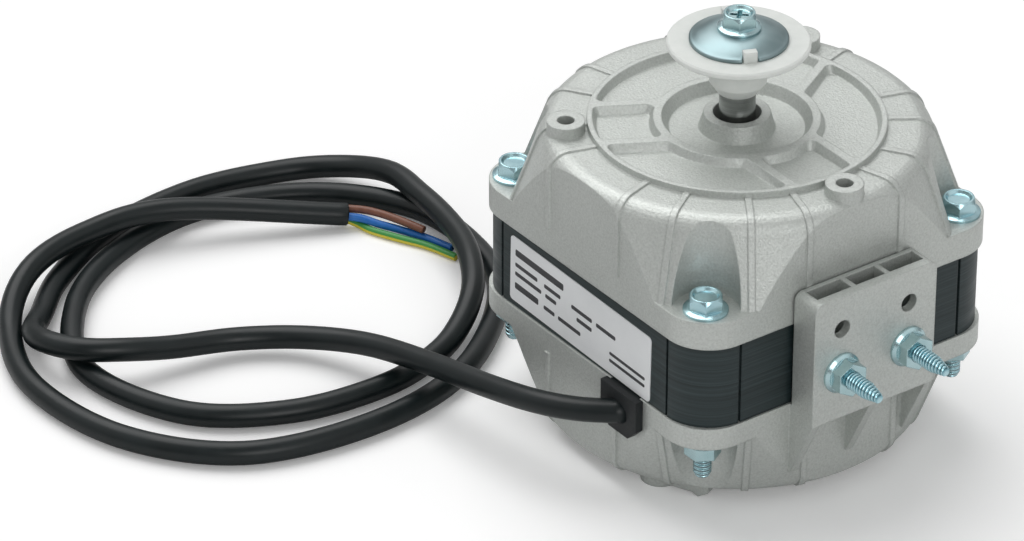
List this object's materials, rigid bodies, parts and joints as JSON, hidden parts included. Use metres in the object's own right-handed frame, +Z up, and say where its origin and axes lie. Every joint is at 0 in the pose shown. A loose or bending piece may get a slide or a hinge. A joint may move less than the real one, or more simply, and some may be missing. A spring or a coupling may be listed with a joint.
{
  "type": "fan motor",
  "caption": "Square shaded-pole fan motor with cast covers, side bracket, flanged fan adapter on an upright shaft and a looped cable.",
  "frame": {"origin": "on the shaft's axis in the plane of the rear fixing bosses' faces", "axes": "+Z up along the shaft towards the fan adapter, +X out of the side bracket, -Y out of the side with the label and the cable gland"},
  "size_m": [0.2075, 0.1696, 0.0992],
  "materials": {
    "cast_alloy": "grainy die-cast surface",
    "lamination_steel": "dark blue-black varnished laminations",
    "shaft_steel": "ground",
    "rotor_alloy": "cast",
    "bearing_steel": "ground",
    "zinc_plate": "blue-white zinc plate",
    "plain_steel": "plain",
    "copper": "bare copper",
    "enamelled_wire": "enamelled winding wire",
    "bobbin_plastic": "moulded",
    "cage_plastic": "moulded",
    "white_nylon": "moulded",
    "gland_rubber": "matte",
    "sheath_black": "semi-gloss",
    "core_brown": "insulation",
    "core_blue": "insulation",
    "core_green_yellow": "insulation, green and yellow",
    "label_film": "silver-white film",
    "tin_plate": "tinned"
  },
  "bodies": {
    "housing": {"front_cover": "cast_alloy", "rear_cover": "cast_alloy", "stator_core": "lamination_steel", "bobbin_1": "bobbin_plastic", "bobbin_2": "bobbin_plastic", "bobbin_3": "bobbin_plastic", "bobbin_4": "bobbin_plastic", "coil_1": "enamelled_wire", "coil_2": "enamelled_wire", "coil_3": "enamelled_wire", "coil_4": "enamelled_wire", "shading_ring_1": "copper", "shading_ring_2": "copper", "shading_ring_3": "copper", "shading_ring_4": "copper", "front_bearing_outer_ring": "bearing_steel", "front_bearing_upper_shield": "bearing_steel", "front_bearing_lower_shield": "bearing_steel", "rear_bearing_outer_ring": "bearing_steel", "rear_bearing_upper_shield": "bearing_steel", "rear_bearing_lower_shield": "bearing_steel", "wave_spring": "plain_steel", "corner_bolts": "zinc_plate", "corner_nuts": "zinc_plate", "bracket_screws": "zinc_plate", "bracket_nuts": "zinc_plate", "label": "label_film", "cable_gland": "gland_rubber", "cable_sheath": "sheath_black", "core_brown": "core_brown", "core_blue": "core_blue", "core_earth": "core_green_yellow", "inner_lead_brown": "core_brown", "inner_lead_blue": "core_blue", "inner_lead_earth": "core_green_yellow", "earth_terminal": "tin_plate", "earth_screw": "bearing_steel"},
    "rotor": {"shaft": "shaft_steel", "rotor_core": "plain_steel", "rotor_cage": "rotor_alloy", "front_spacer": "cage_plastic", "rear_spacer": "cage_plastic", "front_bearing_inner_ring": "bearing_steel", "rear_bearing_inner_ring": "bearing_steel", "fan_adapter": "white_nylon", "domed_washer": "zinc_plate", "fan_screw": "zinc_plate"},
    "front_ball_set": {"front_bearing_balls": "bearing_steel", "front_bearing_cage": "cage_plastic"},
    "rear_ball_set": {"rear_bearing_balls": "bearing_steel", "rear_bearing_cage": "cage_plastic"}
  },
  "joints": [
    {"name": "rotor_spin", "type": "hinge", "parent": "housing", "child": "rotor", "pos_m": [0, 0, 0.037], "axis": [0, 0, 1], "continuous": true},
    {"name": "front_balls_spin", "type": "hinge", "parent": "housing", "child": "front_ball_set", "pos_m": [0, 0, 0.06505], "axis": [0, 0, 1], "continuous": true},
    {"name": "rear_balls_spin", "type": "hinge", "parent": "housing", "child": "rear_ball_set", "pos_m": [0, 0, 0.0094], "axis": [0, 0, 1], "continuous": true}
  ],
  "couplings": [
    {"joint": "front_balls_spin", "follows": "rotor_spin", "ratio": 0.368},
    {"joint": "rear_balls_spin", "follows": "rotor_spin", "ratio": 0.368}
  ]
}
